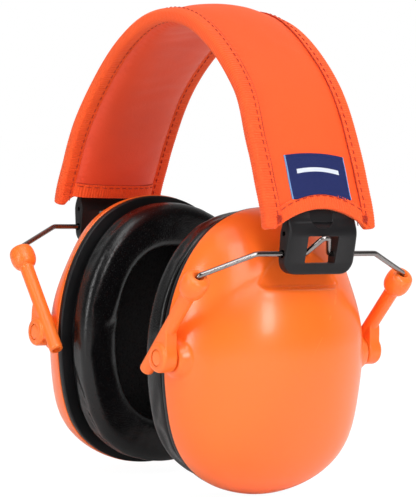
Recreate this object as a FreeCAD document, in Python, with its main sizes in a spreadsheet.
import FreeCAD, Part
import math
import os
import Sketcher
from FreeCAD import Placement, Rotation, Vector

# Folding hearing-protection earmuffs: a sleeved headband, wire yokes with slider arms, two cups.
# X runs ear to ear (+X is the wearer's left), Y fore and aft (-Y is forward), Z is up.
# The origin lies midway between the two yoke hinge axes.
# Everything on the right is drawn as on the left and turned half round about Z.

os.makedirs("parts", exist_ok=True)
doc = FreeCAD.newDocument("earmuffs")
sheet = doc.addObject("Spreadsheet::Sheet", "dims")

# ------------------------------------------------------------ driving dimensions

# alias, value (mm, degrees or ratio), note
CELLS = [
    # headband arch, measured on the outer face of the sleeve
    ("arch_top", 89.3, "height of the outer face at the crown"),
    ("crown_radius", 44.6, "outer radius over the crown"),
    ("side_radius", 104.3, "outer radius down each side"),
    ("crown_angle", 28.8, "angle from vertical where the two arcs meet"),
    ("sleeve_angle", 79.5, "angle from vertical at the end of the sleeve"),
    ("end_angle", 3.3, "arc taken by each end binding"),
    ("end_gap_angle", 0.1, "gap between panel and end binding"),
    ("cover_half", 22.0, "half width of the sleeve panels"),
    ("cover_thick", 0.9, "sleeve panel thickness"),
    ("edge_gap", 0.15, "gap between panel and edge binding"),
    ("sleeve_half", 23.9, "half width over the edge bindings"),
    ("edge_depth", 4.7, "depth of an edge binding"),
    ("strap_out", 1.0, "frame strap, outer face below the arch"),
    ("strap_in", 3.3, "frame strap, inner face below the arch"),
    ("strap_half", 9.0, "half width of the strap"),
    ("strap_angle", 81.2, "angle where the strap runs into the end block"),
    ("wide_angle", 74.0, "angle where the strap widens"),
    ("pad_out", 3.6, "crown pad outer face below the arch"),
    ("pad_in", 7.4, "crown pad inner face below the arch"),
    ("pad_half", 16.0, "half width of the crown pad"),
    ("pad_angle", 72.0, "angle at the end of the crown pad"),
    ("lining_out", 3.8, "lining flange outer face below the arch"),
    ("lining_in", 8.6, "lining inner face below the arch"),
    ("lining_half", 18.9, "half width of the raised lining"),
    # end blocks of the frame
    ("block_in", 68.0, "inner face of an end block"),
    ("block_out", 73.8, "outer face of an end block"),
    ("block_half", 15.2, "half width of an end block"),
    ("block_bottom", -7.4, "bottom of an end block"),
    ("block_top", 10.8, "top of an end block"),
    ("block_radius", 5.5, "bottom corner radius"),
    ("window_half", 6.9, "half width of the window"),
    ("window_bottom", -3.4, "bottom of the window"),
    ("window_top", 6.6, "top of the window"),
    # wire yoke
    ("yoke_x", 70.06, "yoke hinge axis"),
    ("yoke_angle", 40.0, "yoke angle inwards from vertical at rest"),
    ("wire_radius", 1.0, "wire radius"),
    ("wire_hole", 1.05, "hole radius for the wire"),
    ("leg_y", 46.8, "leg centre line"),
    ("leg_end", 50.0, "leg end below the hinge axis"),
    ("bend_y", 27.1, "outer bend on the hinge axis"),
    ("slope_angle", 28.3, "slope of the wire shoulder"),
    ("bend_radius", 3.0, "radius of the outer bend"),
    ("knee_radius", 1.6, "radius of the bend into the leg"),
    ("hump_y", 5.4, "half width of the hump"),
    ("hump_angle", 61.4, "side angle of the hump"),
    ("foot_radius", 1.6, "radius at the foot of the hump"),
    ("tip_radius", 1.8, "radius at the tip of the hump"),
    # slider arms, in the yoke's own frame
    ("barrel_top", -11.0, "top of the barrel"),
    ("barrel_radius", 4.9, "barrel radius"),
    ("barrel_length", 9.8, "barrel top to the start of the plain rod"),
    ("rod_radius", 2.7, "rod radius"),
    ("rod_end", -60.0, "bottom of the rod"),
    ("rod_chamfer", 1.0, "chamfer at the bottom of the rod"),
    ("mouth_radius", 2.4, "mouth of the barrel"),
    ("mouth_bottom", -12.6, "bottom of the mouth"),
    ("boss_x", 5.0, "cup pivot, outwards of the rod"),
    ("boss_z", -47.5, "cup pivot, below the hinge axis"),
    ("boss_radius", 5.4, "arm boss radius"),
    ("boss_in", 44.3, "arm boss inner face"),
    ("boss_out", 50.6, "arm boss outer face"),
    ("web_step", 0.3, "arm web inner face, out from that of the boss"),
    ("web_out", 49.0, "arm web outer face"),
    # cup pivot
    ("pin_radius", 2.2, "pivot pin radius"),
    ("pin_hole", 2.26, "pivot pin hole radius"),
    ("pin_in", 41.4, "inner end of the pin"),
    ("pin_out", 49.9, "outer end of the pin"),
    ("head_radius", 3.1, "pin head radius"),
    ("head_thick", 0.9, "pin head thickness"),
    ("head_hole", 3.2, "counterbore radius"),
    ("head_seat", 48.9, "counterbore floor"),
    ("lug_radius", 5.3, "pivot lug radius on the shell"),
    ("lug_in", 39.9, "root of the pivot lug"),
    ("lug_out", 43.9, "face of the pivot lug"),
    ("lug_hole", 41.3, "bottom of the lug hole"),
    # cup
    ("cup_z", -38.95, "cup centre height"),
    ("cup_half_width", 43.2, "cup half width at the rim"),
    ("cup_half_height", 54.0, "cup half height at the rim"),
    ("rim_end_radius", 47.0, "rim radius at top and bottom"),
    ("rim_side_radius", 82.0, "rim radius at the sides"),
    ("rim_corner_radius", 30.0, "rim radius at the corners"),
    ("seam_x", 37.8, "rim plane of the shell"),
    ("wall_thick", 2.2, "shell wall"),
    ("cavity_lead", 0.5, "start of the cavity, inwards of the rim plane"),
    ("recess_half", 20.0, "half width of the shell recess"),
    ("recess_bottom", -14.5, "bottom of the shell recess"),
    ("recess_top", 25.0, "top of the shell recess"),
    ("recess_x", 59.5, "floor of the shell recess"),
    ("recess_radius", 5.0, "corner radius of the shell recess"),
    ("far_x", 85.0, "outer limit for recess cuts"),
    # cushion plate, cushion and liner
    ("flange_x", 35.4, "inner face of the plate flange"),
    ("neck_x", 32.3, "inner face of the plate neck"),
    ("neck_inset", 6.2, "neck inset from the rim"),
    ("lip_x", 40.4, "end of the locating lip"),
    ("lip_inset", 2.8, "locating lip inset from the rim"),
    ("lip_thick", 1.5, "locating lip thickness"),
    ("port_half_width", 26.5, "half width of the plate opening"),
    ("port_half_height", 36.5, "half height of the plate opening"),
    ("ring_in", 31.0, "inner face of the cushion ring"),
    ("ring_out", 32.2, "outer face of the cushion ring"),
    ("ring_inset", 4.2, "cushion ring inset from the rim"),
    ("skirt_end", 34.9, "end of the cushion ring skirt"),
    ("skirt_inner_inset", 6.1, "skirt inner inset from the rim"),
    ("skirt_outer_inset", 4.9, "skirt outer inset from the rim"),
    ("cushion_x", 21.7, "face of the ear cushion"),
    ("cushion_back", 30.9, "back of the ear cushion"),
    ("cushion_inset", 3.4, "ear cushion inset from the rim"),
    ("cushion_radius", 4.8, "cushion edge radius"),
    ("ear_half_width", 24.5, "half width of the ear opening"),
    ("ear_half_height", 33.5, "half height of the ear opening"),
    ("skin_thick", 1.6, "cushion cover and its bonded layer"),
    ("foam_gap", 0.1, "gap round the cushion foam"),
    ("liner_x", 41.0, "inner face of the liner foam"),
    ("liner_end", 54.0, "outer face of the liner foam"),
    ("liner_half_width", 31.0, "half width of the liner foam"),
    ("liner_half_height", 39.5, "half height of the liner foam"),
    # sewn tab
    ("tab_length", 26.0, "tab length"),
    ("tab_height", 14.5, "tab height"),
    ("tab_thick", 0.6, "tab thickness"),
    ("tab_angle", 70.0, "angle of the tab on the arch"),
    ("tab_y", 0.4, "centre of the sewn tab, fore and aft"),
    ("tab_gap", 0.5, "tab stand-off"),
]

# Loft stations of the shell: depth out from the rim plane, scale of the rim outline
STATIONS = {
    "dome": [(8.0, 0.957), (16.0, 0.840), (22.0, 0.690), (27.0, 0.495), (31.0, 0.270)],
    "cavity": [(8.0, 0.951), (15.5, 0.822), (20.5, 0.685), (25.0, 0.495), (28.6, 0.260)],
}
for shape, stations in STATIONS.items():
    for i, (depth, scale) in enumerate(stations, start=1):
        CELLS.append(("%s_depth_%d" % (shape, i), depth, shape + " section depth"))
        CELLS.append(("%s_scale_%d" % (shape, i), scale, shape + " section scale"))

OVERSHOOT = 1.0  # how far a cut runs past the material, in mm or in degrees of arch
EDGE_TOLERANCE = 0.05  # for picking edges by position


class Dim:
    """A length, angle or ratio together with the sheet formula that drives it."""

    def __init__(self, value, text):
        self.value = float(value)
        self.text = text

    def __add__(self, other):
        other = dim(other)
        return Dim(self.value + other.value, "(%s + %s)" % (self.text, other.text))

    def __sub__(self, other):
        other = dim(other)
        return Dim(self.value - other.value, "(%s - %s)" % (self.text, other.text))

    def __rsub__(self, other):
        return dim(other) - self

    def __mul__(self, other):
        other = dim(other)
        return Dim(self.value * other.value, "(%s * %s)" % (self.text, other.text))

    def __rmul__(self, other):
        return dim(other) * self

    def __truediv__(self, other):
        other = dim(other)
        return Dim(self.value / other.value, "(%s / %s)" % (self.text, other.text))

    def __neg__(self):
        return Dim(-self.value, "(0 - %s)" % self.text)


def dim(number):
    if isinstance(number, Dim):
        return number
    return Dim(number, "%.6f" % number if number >= 0 else "(0 - %.6f)" % -number)


def sine(angle):
    return Dim(math.sin(math.radians(angle.value)), "sin(%s * 1deg)" % angle.text)


def cosine(angle):
    return Dim(math.cos(math.radians(angle.value)), "cos(%s * 1deg)" % angle.text)


def tangent(angle):
    return Dim(math.tan(math.radians(angle.value)), "tan(%s * 1deg)" % angle.text)


class Dims:
    """Holds one Dim per sheet cell, under the cell's alias."""


dims = Dims()
for row, (alias, value, note) in enumerate(CELLS, start=1):
    sheet.set("A%d" % row, alias)
    sheet.set("B%d" % row, repr(value))
    sheet.set("C%d" % row, note)
    sheet.setAlias("B%d" % row, alias)
    setattr(dims, alias, Dim(value, "dims." + alias))
doc.recompute()
zero = dim(0.0)


# ------------------------------------------------------------ sketch helpers

def drive(obj, prop, size):
    """Set a property and bind it to the sheet."""
    setattr(obj, prop, size.value)
    obj.setExpression(prop, size.text)


def new_body(label):
    return doc.addObject("PartDesign::Body", label)


def new_sketch(body, name, role, offset=None, shift=None):
    """Sketch on an origin plane, offset along its normal and shifted along its first axis."""
    sketch = body.newObject("Sketcher::SketchObject", name)
    plane = next(item for item in body.Origin.OriginFeatures if item.Role == role)
    sketch.AttachmentSupport = [(plane, "")]
    sketch.MapMode = "FlatFace"
    base = Vector(shift.value if shift else 0, 0, offset.value if offset else 0)
    sketch.AttachmentOffset = Placement(base, Rotation())
    if offset is not None:
        sketch.setExpression("AttachmentOffset.Base.z", offset.text)
    if shift is not None:
        sketch.setExpression("AttachmentOffset.Base.x", shift.text)
    return sketch


def bind(sketch, *args):
    """Add a constraint whose last argument, a Dim, drives it."""
    size = args[-1]
    index = sketch.addConstraint(Sketcher.Constraint(*args[:-1], size.value))
    sketch.setExpression("Constraints[%d]" % index, size.text)


def pin_point(sketch, geo, point, across, up):
    bind(sketch, "DistanceX", -1, 1, geo, point, across)
    bind(sketch, "DistanceY", -1, 1, geo, point, up)


def add_edge(sketch, curve, start):
    """Add a curve; return its index and the point numbers of its start and finish."""
    geo = sketch.addGeometry(curve, False)
    to_first = (sketch.getPoint(geo, 1) - start).Length
    to_second = (sketch.getPoint(geo, 2) - start).Length
    first = 1 if to_first <= to_second else 2
    return geo, first, 3 - first


def short_arc(start, centre, finish, radius):
    middle = (start - centre) + (finish - centre)
    middle.normalize()
    return Part.Arc(start, centre + middle * radius, finish)


def circle(across, up, radius):
    def draw(sketch):
        centre = Vector(across.value, up.value, 0)
        geo = sketch.addGeometry(Part.Circle(centre, Vector(0, 0, 1), radius.value), False)
        pin_point(sketch, geo, 3, across, up)
        bind(sketch, "Radius", geo, radius)
    return draw


def chain(vertices, closed=True):
    """Lines and arcs through (across, up) or (across, up, arc) vertices.

    arc is (centre across, centre up, radius) where an arc runs on to the next vertex, or None.
    """
    def draw(sketch):
        points = [Vector(vertex[0].value, vertex[1].value, 0) for vertex in vertices]
        count = len(vertices) if closed else len(vertices) - 1
        edges = []
        radii = []
        for i in range(count):
            start, finish = points[i], points[(i + 1) % len(points)]
            arc = vertices[i][2] if len(vertices[i]) > 2 else None
            if arc:
                centre = Vector(arc[0].value, arc[1].value, 0)
                curve = short_arc(start, centre, finish, arc[2].value)
            else:
                curve = Part.LineSegment(start, finish)
            edges.append(add_edge(sketch, curve, start))
            if arc:
                radii.append((edges[-1][0], arc[2]))
        for i, (geo, first, last) in enumerate(edges):
            pin_point(sketch, geo, first, vertices[i][0], vertices[i][1])
            if closed or i + 1 < count:
                following = edges[(i + 1) % count]
                sketch.addConstraint(Sketcher.Constraint(
                    "Coincident", geo, last, following[0], following[1]))
            else:
                pin_point(sketch, geo, last, vertices[-1][0], vertices[-1][1])
        for geo, radius in radii:
            bind(sketch, "Radius", geo, radius)
    return draw


def round_bottomed(half, bottom, top, radius):
    """Rectangle with its two bottom corners rounded."""
    turn = bottom + radius
    return chain([
        (-half, top), (-half, turn, (radius - half, turn, radius)), (radius - half, bottom),
        (half - radius, bottom, (half - radius, turn, radius)), (half, turn), (half, top)])


def rim(scale=1.0, inset=0.0):
    """Cup rim outline of eight tangent arcs: long at sides and ends, short between."""
    scale = dim(scale)
    height = (dims.cup_half_height - inset) * scale
    width = (dims.cup_half_width - inset) * scale
    end_radius = (dims.rim_end_radius - inset) * scale
    side_radius = (dims.rim_side_radius - inset) * scale
    corner_radius = (dims.rim_corner_radius - inset) * scale

    # centres measured from the cup centre, in the quarter where both are positive
    end_centre = Vector(0, height.value - end_radius.value, 0)
    side_centre = Vector(width.value - side_radius.value, 0, 0)

    # the corner arc is tangent inside both its neighbours
    toward = side_centre - end_centre
    gap = toward.Length
    toward.normalize()
    from_end = end_radius.value - corner_radius.value
    from_side = side_radius.value - corner_radius.value
    along = (from_end ** 2 - from_side ** 2 + gap ** 2) / (2 * gap)
    off = math.sqrt(from_end ** 2 - along ** 2)
    corner_centre = end_centre + toward * along + Vector(toward.y, -toward.x, 0) * off

    def touch(centre, radius):
        outward = corner_centre - centre
        outward.normalize()
        return centre + outward * radius.value

    end_joint = touch(end_centre, end_radius)
    side_joint = touch(side_centre, side_radius)

    # joint each arc starts from, its centre, each with mirror signs; radius
    arcs = [
        ((side_joint, 1, -1), (side_centre, 1, 1), side_radius),
        ((side_joint, 1, 1), (corner_centre, 1, 1), corner_radius),
        ((end_joint, 1, 1), (end_centre, 1, 1), end_radius),
        ((end_joint, -1, 1), (corner_centre, -1, 1), corner_radius),
        ((side_joint, -1, 1), (side_centre, -1, 1), side_radius),
        ((side_joint, -1, -1), (corner_centre, -1, -1), corner_radius),
        ((end_joint, -1, -1), (end_centre, 1, -1), end_radius),
        ((end_joint, 1, -1), (corner_centre, 1, -1), corner_radius),
    ]

    def mirror(point, sign_y, sign_z):
        return Vector(point.x * sign_y, dims.cup_z.value + point.y * sign_z, 0)

    def draw(sketch):
        edges = []
        for i, (joint, centre, radius) in enumerate(arcs):
            start = mirror(*joint)
            finish = mirror(*arcs[(i + 1) % 8][0])
            curve = short_arc(start, mirror(*centre), finish, radius.value)
            edges.append(add_edge(sketch, curve, start))
        for i, (geo, _, last) in enumerate(edges):
            following = edges[(i + 1) % 8]
            sketch.addConstraint(Sketcher.Constraint(
                "Tangent", geo, last, following[0], following[1]))
        for edge, arc in zip(edges, arcs):
            bind(sketch, "Radius", edge[0], arc[2])
        middle = dims.cup_z
        pin_point(sketch, edges[0][0], 3, width - side_radius, middle)
        pin_point(sketch, edges[2][0], 3, zero, middle + height - end_radius)
        pin_point(sketch, edges[4][0], 3, side_radius - width, middle)
        pin_point(sketch, edges[6][0], 3, zero, middle - height + end_radius)
    return draw


def slot(half_width, half_height):
    """Upright slot on the cup centre: straight sides and round ends."""
    upper = dims.cup_z + half_height - half_width
    lower = dims.cup_z - half_height + half_width
    upper_arc = (zero, upper, half_width)
    lower_arc = (zero, lower, half_width)
    return chain([
        (half_width, lower), (half_width, upper, upper_arc),
        (zero, dims.cup_z + half_height, upper_arc),
        (-half_width, upper), (-half_width, lower, lower_arc),
        (zero, dims.cup_z - half_height, lower_arc)])


def both(*draws):
    def draw(sketch):
        for one in draws:
            one(sketch)
    return draw


# ------------------------------------------------------------ solid helpers

def span(low, high, sign):
    """The range low to high, or its mirror image when sign is negative."""
    return (low, high) if sign > 0 else (-high, -low)


def extrude(body, name, role, low, high, draw, cut=False):
    """Pad or pocket between two planes across X, Y or Z."""
    # the normal of the XZ plane points along -Y
    offset = -high if role == "XZ_Plane" else low
    sketch = new_sketch(body, name + "_sketch", role, offset)
    draw(sketch)
    feature = body.newObject("PartDesign::Pocket" if cut else "PartDesign::Pad", name)
    feature.Profile = sketch
    drive(feature, "Length", high - low)
    if cut:
        feature.Reversed = True
    sketch.Visibility = False
    return feature


def extrude_centred(body, name, half, draw, cut=False):
    """Pad or pocket across Y, half to each side of the middle."""
    return extrude(body, name, "XZ_Plane", -half, half, draw, cut)


def loft(body, name, shape, start, inset):
    """Loft from the full rim at start through the shape's stations."""
    sections = [(start, 1.0)]
    for i in range(1, len(STATIONS[shape]) + 1):
        depth = getattr(dims, "%s_depth_%d" % (shape, i))
        sections.append((dims.seam_x + depth, getattr(dims, "%s_scale_%d" % (shape, i))))
    sketches = []
    for i, (x, scale) in enumerate(sections, start=1):
        sketch = new_sketch(body, "%s_section_%d" % (name, i), "YZ_Plane", x)
        rim(scale, inset)(sketch)
        sketches.append(sketch)
    feature = body.newObject("PartDesign::AdditiveLoft", name)
    feature.Profile = sketches[0]
    feature.Sections = sketches[1:]
    feature.Ruled = False
    feature.Closed = False


def side_turn(side):
    return Placement(Vector(0, 0, 0), Rotation(Vector(0, 0, 1), 0 if side == "left" else 180))


# ------------------------------------------------------------ headband arch

# centre of the crown arc, joint of the two arcs, centre of the left side arc
crown_z = dims.arch_top - dims.crown_radius
joint_x = dims.crown_radius * sine(dims.crown_angle)
joint_z = crown_z + dims.crown_radius * cosine(dims.crown_angle)
side_x = joint_x - dims.side_radius * sine(dims.crown_angle)
side_z = joint_z - dims.side_radius * cosine(dims.crown_angle)
panel_angle = dims.sleeve_angle - dims.end_angle


def on_crown(depth, sign):
    """End of the crown arc, at a depth below the outer face."""
    radius = dims.crown_radius - depth
    return sign * (radius * sine(dims.crown_angle)), crown_z + radius * cosine(dims.crown_angle)


def on_side(depth, angle, sign):
    """Point on a side arc, at a depth below the outer face."""
    radius = dims.side_radius - depth
    return sign * (side_x + radius * sine(angle)), side_z + radius * cosine(angle)


def full_arch(outer, inner, angle):
    """Band between two depths, from one end of the arch to the other."""
    side_out, side_in = dims.side_radius - outer, dims.side_radius - inner
    crown_out, crown_in = dims.crown_radius - outer, dims.crown_radius - inner
    return chain([
        (*on_side(outer, angle, -1), (-side_x, side_z, side_out)),
        (*on_crown(outer, -1), (zero, crown_z, crown_out)),
        (*on_crown(outer, 1), (side_x, side_z, side_out)),
        on_side(outer, angle, 1),
        (*on_side(inner, angle, 1), (side_x, side_z, side_in)),
        (*on_crown(inner, 1), (zero, crown_z, crown_in)),
        (*on_crown(inner, -1), (-side_x, side_z, side_in)),
        on_side(inner, angle, -1),
    ])


def side_arch(outer, inner, upper, lower, sign):
    """Band between two depths on one side of the arch, between two angles."""
    centre_x = sign * side_x
    return chain([
        (*on_side(outer, upper, sign), (centre_x, side_z, dims.side_radius - outer)),
        on_side(outer, lower, sign),
        (*on_side(inner, lower, sign), (centre_x, side_z, dims.side_radius - inner)),
        on_side(inner, upper, sign),
    ])


def headband_frame():
    """Strap under the sleeve, with a windowed block at each end for the yoke."""
    body = new_body("headband_frame")
    extrude_centred(body, "strap", dims.strap_half,
                    full_arch(dims.strap_out, dims.strap_in, dims.strap_angle))
    outline = round_bottomed(dims.block_half, dims.block_bottom,
                             dims.block_top, dims.block_radius)
    half, bottom, top = dims.window_half, dims.window_bottom, dims.window_top
    window = chain([(-half, bottom), (half, bottom), (half, top), (-half, top)])
    for side, sign in (("left", 1), ("right", -1)):
        shoulder = side_arch(dims.strap_out, dims.strap_in,
                             dims.wide_angle, dims.strap_angle, sign)
        extrude_centred(body, side + "_shoulder", dims.block_half, shoulder)
        low, high = span(dims.block_in, dims.block_out, sign)
        extrude(body, side + "_block", "YZ_Plane", low, high, outline)
        extrude(body, side + "_window", "YZ_Plane", low - OVERSHOOT, high + OVERSHOOT,
                window, cut=True)
        extrude_centred(body, side + "_wire_holes", dims.block_half + OVERSHOOT,
                        circle(sign * dims.yoke_x, zero, dims.wire_hole), cut=True)
    return body


def outer_panel():
    body = new_body("sleeve_outer_panel")
    extrude_centred(body, "panel", dims.cover_half,
                    full_arch(zero, dims.cover_thick, panel_angle))
    return body


def inner_panel():
    """Hollow raised lining with a flat margin along both edges."""
    body = new_body("sleeve_inner_panel")
    extrude_centred(body, "raised", dims.lining_half,
                    full_arch(dims.lining_out, dims.lining_in, panel_angle))
    extrude_centred(body, "margin", dims.cover_half,
                    full_arch(dims.lining_out, dims.lining_out + dims.cover_thick, panel_angle))
    extrude_centred(body, "hollow", dims.lining_half - dims.cover_thick,
                    full_arch(dims.lining_out - OVERSHOOT, dims.lining_in - dims.cover_thick,
                              panel_angle + OVERSHOOT), cut=True)
    return body


def crown_foam_pad():
    body = new_body("crown_foam_pad")
    extrude_centred(body, "pad", dims.pad_half,
                    full_arch(dims.pad_out, dims.pad_in, dims.pad_angle))
    return body


def edge_binding(end, sign):
    body = new_body(end + "_edge_binding")
    low, high = span(dims.cover_half + dims.edge_gap, dims.sleeve_half, sign)
    extrude(body, "binding", "XZ_Plane", low, high,
            full_arch(zero, dims.edge_depth, dims.sleeve_angle))
    return body


def end_binding(label, half, outer, inner, sign):
    body = new_body(label)
    extrude_centred(body, "binding", half,
                    side_arch(outer, inner, panel_angle + dims.end_gap_angle,
                              dims.sleeve_angle, sign))
    return body


def end_bindings(side, sign):
    """Bindings over the ends of the outer and inner panels."""
    return [
        end_binding(side + "_outer_end_binding", dims.cover_half,
                    zero, dims.cover_thick, sign),
        end_binding(side + "_inner_end_binding", dims.lining_half,
                    dims.lining_in - dims.cover_thick, dims.lining_in, sign),
    ]


def sewn_tab():
    """Thin box standing just off the left side of the arch."""
    tab = doc.addObject("Part::Box", "sewn_tab")
    drive(tab, "Length", dims.tab_thick)
    drive(tab, "Width", dims.tab_length)
    drive(tab, "Height", dims.tab_height)
    angle = dims.tab_angle
    # the box's corner sits half a tab down the arch and half a tab forward of its centre
    middle_x, middle_z = on_side(-dims.tab_gap, angle, 1)
    x = middle_x + (dims.tab_height / 2.0) * cosine(angle)
    y = dims.tab_y - dims.tab_length / 2.0
    z = middle_z - (dims.tab_height / 2.0) * sine(angle)
    tab.Placement = Placement(Vector(x.value, y.value, z.value),
                              Rotation(Vector(0, 1, 0), angle.value - 90.0))
    tab.setExpression("Placement.Base.x", x.text)
    tab.setExpression("Placement.Base.y", y.text)
    tab.setExpression("Placement.Base.z", z.text)
    return tab


# ------------------------------------------------------------ yokes, arms and pins

# cup pivot axis: the arm boss, swung inwards with the yoke about the hinge
pivot_x = (dims.yoke_x + dims.boss_x * cosine(dims.yoke_angle)
           + dims.boss_z * sine(dims.yoke_angle))
pivot_z = dims.boss_z * cosine(dims.yoke_angle) - dims.boss_x * sine(dims.yoke_angle)

# Upper barrel outline: distance in from the barrel radius, distance below the barrel top
BARREL_OUTLINE = [(1.6, 0.0), (0.0, 2.2), (0.0, 6.4), (1.2, 8.6)]


def hang(body, side):
    """Place a body drawn in the yoke's own frame: hinge axis at its origin, legs down."""
    swing = Placement(Vector(dims.yoke_x.value, 0, 0),
                      Rotation(Vector(0, 1, 0), dims.yoke_angle.value))
    body.Placement = side_turn(side).multiply(swing)
    x = dims.yoke_x if side == "left" else -dims.yoke_x
    body.setExpression("Placement.Base.x", x.text)


def wire_yoke(side):
    """Wire from leg to leg over two sloping shoulders, with a pointed hump mid-way."""
    body = new_body(side + "_wire_yoke")
    slope, steep = dims.slope_angle, dims.hump_angle
    leg, bend, hump = dims.leg_y, dims.bend_y, dims.hump_y
    knee_r, bend_r = dims.knee_radius, dims.bend_radius
    foot_r, tip_r = dims.foot_radius, dims.tip_radius
    knee_z = -((leg - bend) * tangent(slope))
    tip_z = hump * tangent(steep)
    # length each bend takes from the straights beside it
    knee_cut = knee_r * tangent((90.0 - slope) / 2.0)
    bend_cut = bend_r * tangent(slope / 2.0)
    foot_cut = foot_r * tangent(steep / 2.0)
    tip_cut = tip_r * tangent(steep)
    # half the path, from leg end to tip: y, z, arc on to the next point
    half = [
        (leg, -dims.leg_end, None),
        (leg, knee_z - knee_cut, (leg - knee_r, knee_z - knee_cut, knee_r)),
        (leg - knee_cut * cosine(slope), knee_z + knee_cut * sine(slope), None),
        (bend + bend_cut * cosine(slope), -(bend_cut * sine(slope)),
         (bend - bend_cut, -bend_r, bend_r)),
        (bend - bend_cut, zero, None),
        (hump + foot_cut, zero, (hump + foot_cut, foot_r, foot_r)),
        (hump - foot_cut * cosine(steep), foot_cut * sine(steep), None),
        (tip_cut * cosine(steep), tip_z - tip_cut * sine(steep),
         (zero, tip_z - tip_r / cosine(steep), tip_r)),
    ]
    vertices = [(-y, z, (-arc[0], arc[1], arc[2]) if arc else None) for y, z, arc in half]
    # on the way down each arc moves to the other end of its edge
    arcs_down = [vertex[2] for vertex in half[-2::-1]] + [None]
    vertices += [(y, z, arc) for (y, z, _), arc in zip(half[::-1], arcs_down)]
    path = new_sketch(body, "wire_path", "YZ_Plane")
    chain(vertices, closed=False)(path)
    section = new_sketch(body, "wire_section", "XY_Plane", -dims.leg_end)
    circle(zero, -leg, dims.wire_radius)(section)
    pipe = body.newObject("PartDesign::AdditivePipe", "wire")
    pipe.Profile = section
    pipe.Spine = (path, [])
    hang(body, side)
    return body


def slider_arm(side, end):
    """Bored barrel and rod round a yoke leg, with a boss beside it for the cup pin."""
    # the right side is turned half round, so its front arm is drawn at +Y
    sign = 1 if (end == "front") == (side == "right") else -1
    body = new_body("%s_%s_arm" % (side, end))
    y = sign * dims.leg_y
    top, rod, bottom = dims.barrel_top, dims.rod_radius, dims.rod_end
    sketch = new_sketch(body, "barrel_and_rod", "YZ_Plane", None, y)
    chain([(zero, top)]
          + [(dims.barrel_radius - inwards, top - down) for inwards, down in BARREL_OUTLINE]
          + [(rod, top - dims.barrel_length), (rod, bottom + dims.rod_chamfer),
             (rod - dims.rod_chamfer, bottom), (zero, bottom)])(sketch)
    barrel = body.newObject("PartDesign::Revolution", "barrel")
    barrel.Profile = sketch
    barrel.ReferenceAxis = (sketch, ["V_Axis"])
    barrel.Angle = 360.0

    x, z = dims.boss_x, dims.boss_z
    # web outline: x, height from the cup pivot
    web = [
        (dim(-1.0), 11.0), (rod - 0.3, 9.5), (x + dims.boss_radius - 0.9, 2.0),
        (x, -4.0), (zero, -5.5), (dim(-1.0), -5.5),
    ]
    inner, outer = dims.boss_in, dims.boss_out
    past = outer + OVERSHOOT
    # name, range across Y, outline, whether it cuts
    for name, low, high, draw, cut in (
            ("boss", inner, outer, circle(x, z, dims.boss_radius), False),
            ("web", inner + dims.web_step, dims.web_out,
             chain([(web_x, z + rise) for web_x, rise in web]), False),
            ("pin_hole", inner - OVERSHOOT, past, circle(x, z, dims.pin_hole), True),
            ("head_seat", dims.head_seat, past, circle(x, z, dims.head_hole), True)):
        extrude(body, name, "XZ_Plane", *span(low, high, sign), draw, cut)
    extrude(body, "wire_bore", "XY_Plane", bottom - OVERSHOOT, top + OVERSHOOT,
            circle(zero, y, dims.wire_hole), cut=True)
    extrude(body, "mouth", "XY_Plane", dims.mouth_bottom, top + OVERSHOOT,
            circle(zero, y, dims.mouth_radius), cut=True)
    hang(body, side)
    return body


def pivot_pins(side):
    """Headed pins at both ends of the cup; front and rear are as drawn, before the turn."""
    cylinders = []
    for end, sign in (("front", -1), ("rear", 1)):
        for name, radius, start, length in (
                ("shank", dims.pin_radius, dims.pin_in, dims.pin_out - dims.pin_in),
                ("head", dims.head_radius, dims.pin_out - dims.head_thick, dims.head_thick)):
            cylinder = doc.addObject("Part::Cylinder", "%s_%s_pin_%s" % (side, end, name))
            drive(cylinder, "Radius", radius)
            drive(cylinder, "Height", length)
            y = sign * start
            cylinder.Placement = Placement(Vector(pivot_x.value, y.value, pivot_z.value),
                                           Rotation(Vector(1, 0, 0), -90 * sign))
            cylinder.setExpression("Placement.Base.x", pivot_x.text)
            cylinder.setExpression("Placement.Base.y", y.text)
            cylinder.setExpression("Placement.Base.z", pivot_z.text)
            cylinders.append(cylinder)
    pins = doc.addObject("Part::MultiFuse", side + "_pivot_pins")
    pins.Shapes = cylinders
    pins.Placement = side_turn(side)
    return pins


# ------------------------------------------------------------ cups

def recess(grow):
    """Outline of the shell recess, grown at the sides and bottom."""
    return round_bottomed(dims.recess_half + grow, dims.recess_bottom - grow,
                          dims.recess_top, dims.recess_radius + grow)


def shell_outside(side):
    """Solid dome with its recess and a drilled pivot lug at each end."""
    body = new_body(side + "_shell_outside")
    loft(body, "dome", "dome", dims.seam_x, zero)
    extrude(body, "recess", "YZ_Plane", dims.recess_x, dims.far_x, recess(zero), cut=True)
    for end, sign in (("front", -1), ("rear", 1)):
        low, high = span(dims.lug_in, dims.lug_out, sign)
        extrude(body, end + "_lug", "XZ_Plane", low, high,
                circle(pivot_x, pivot_z, dims.lug_radius))
        low, high = span(dims.lug_hole, dims.lug_out + OVERSHOOT, sign)
        extrude(body, end + "_lug_hole", "XZ_Plane", low, high,
                circle(pivot_x, pivot_z, dims.pin_hole), cut=True)
    return body


def shell_cavity(side):
    """Inside of the dome, kept one wall clear of the recess."""
    body = new_body(side + "_shell_cavity")
    wall = dims.wall_thick
    loft(body, "hollow", "cavity", dims.seam_x - dims.cavity_lead, wall)
    extrude(body, "recess_wall", "YZ_Plane", dims.recess_x - wall, dims.far_x,
            recess(wall), cut=True)
    return body


def cup_shell(side):
    shell = doc.addObject("Part::Cut", side + "_cup_shell")
    shell.Base = shell_outside(side)
    shell.Tool = shell_cavity(side)
    shell.Placement = side_turn(side)
    return shell


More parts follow.
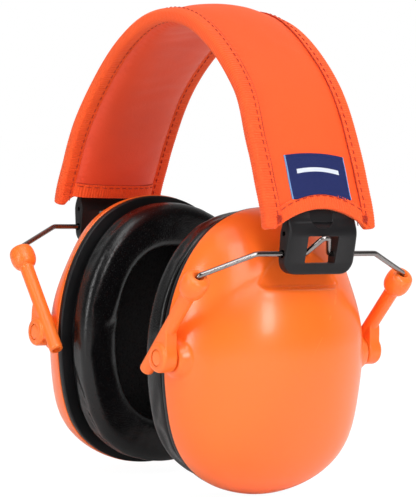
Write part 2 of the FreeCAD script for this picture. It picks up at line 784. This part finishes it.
def cup_part(side, name, layers):
    """Body built of layers across X, each (name, low, high, outline)."""
    body = new_body("%s_%s" % (side, name))
    for layer, low, high, draw in layers:
        extrude(body, layer, "YZ_Plane", low, high, draw)
    body.Placement = side_turn(side)
    return body


def cushion_plate(side):
    hole = slot(dims.port_half_width, dims.port_half_height)
    lip = both(rim(inset=dims.lip_inset), rim(inset=dims.lip_inset + dims.lip_thick))
    return cup_part(side, "cushion_plate", [
        ("flange", dims.flange_x, dims.seam_x, both(rim(), hole)),
        ("neck", dims.neck_x, dims.flange_x, both(rim(inset=dims.neck_inset), hole)),
        ("lip", dims.seam_x, dims.lip_x, lip),
    ])


def cushion_ring(side):
    ring = both(rim(inset=dims.ring_inset), slot(dims.port_half_width, dims.port_half_height))
    skirt = both(rim(inset=dims.skirt_outer_inset), rim(inset=dims.skirt_inner_inset))
    return cup_part(side, "cushion_ring", [
        ("ring", dims.ring_in, dims.ring_out, ring),
        ("skirt", dims.ring_out, dims.skirt_end, skirt),
    ])


def cushion_outline(skin):
    """Ear cushion ring, thinned by a skin inside and out."""
    return both(rim(inset=dims.cushion_inset + skin),
                slot(dims.ear_half_width + skin, dims.ear_half_height + skin))


def cushion_cover(side):
    """Skin round the foam, rounded on the face towards the ear and open at the back."""
    body = new_body(side + "_cushion_cover")
    cushion = extrude(body, "cushion", "YZ_Plane", dims.cushion_x, dims.cushion_back,
                      cushion_outline(zero))
    # the pad needs its shape before its face edges can be picked
    doc.recompute()
    face = dims.cushion_x.value
    names = ["Edge%d" % i for i, edge in enumerate(cushion.Shape.Edges, start=1)
             if abs(edge.BoundBox.XMin - face) < EDGE_TOLERANCE
             and abs(edge.BoundBox.XMax - face) < EDGE_TOLERANCE]
    rounded = body.newObject("PartDesign::Fillet", "soft_edges")
    rounded.Base = (cushion, names)
    drive(rounded, "Radius", dims.cushion_radius)
    skin = dims.skin_thick
    extrude(body, "foam_space", "YZ_Plane", dims.cushion_x + skin,
            dims.cushion_back + OVERSHOOT, cushion_outline(skin), cut=True)
    body.Placement = side_turn(side)
    return body


def cushion_foam(side):
    skin = dims.skin_thick + dims.foam_gap
    return cup_part(side, "cushion_foam", [
        ("foam", dims.cushion_x + skin, dims.cushion_back, cushion_outline(skin)),
    ])


def liner_foam(side):
    return cup_part(side, "liner_foam", [
        ("liner", dims.liner_x, dims.liner_end,
         slot(dims.liner_half_width, dims.liner_half_height)),
    ])


# ------------------------------------------------------------ build, check and export

pieces = [
    headband_frame(),
    outer_panel(),
    inner_panel(),
    crown_foam_pad(),
    edge_binding("front", -1),
    edge_binding("rear", 1),
    *end_bindings("left", 1),
    *end_bindings("right", -1),
    sewn_tab(),
]
for side in ("left", "right"):
    pieces += [
        wire_yoke(side),
        slider_arm(side, "front"),
        slider_arm(side, "rear"),
        pivot_pins(side),
        cup_shell(side),
        cushion_plate(side),
        cushion_ring(side),
        cushion_cover(side),
        cushion_foam(side),
        liner_foam(side),
    ]
doc.recompute()

failed = [obj.Name for obj in doc.Objects if "Invalid" in obj.State or "Error" in obj.State]
if failed:
    raise RuntimeError("objects failed to build: %s" % ", ".join(failed))
for piece in pieces:
    if piece.Shape.isNull() or not piece.Shape.isValid() or not piece.Shape.Solids:
        raise RuntimeError("bad shape: " + piece.Label)
for piece in pieces:
    piece.Shape.exportStep("parts/%s.step" % piece.Label)
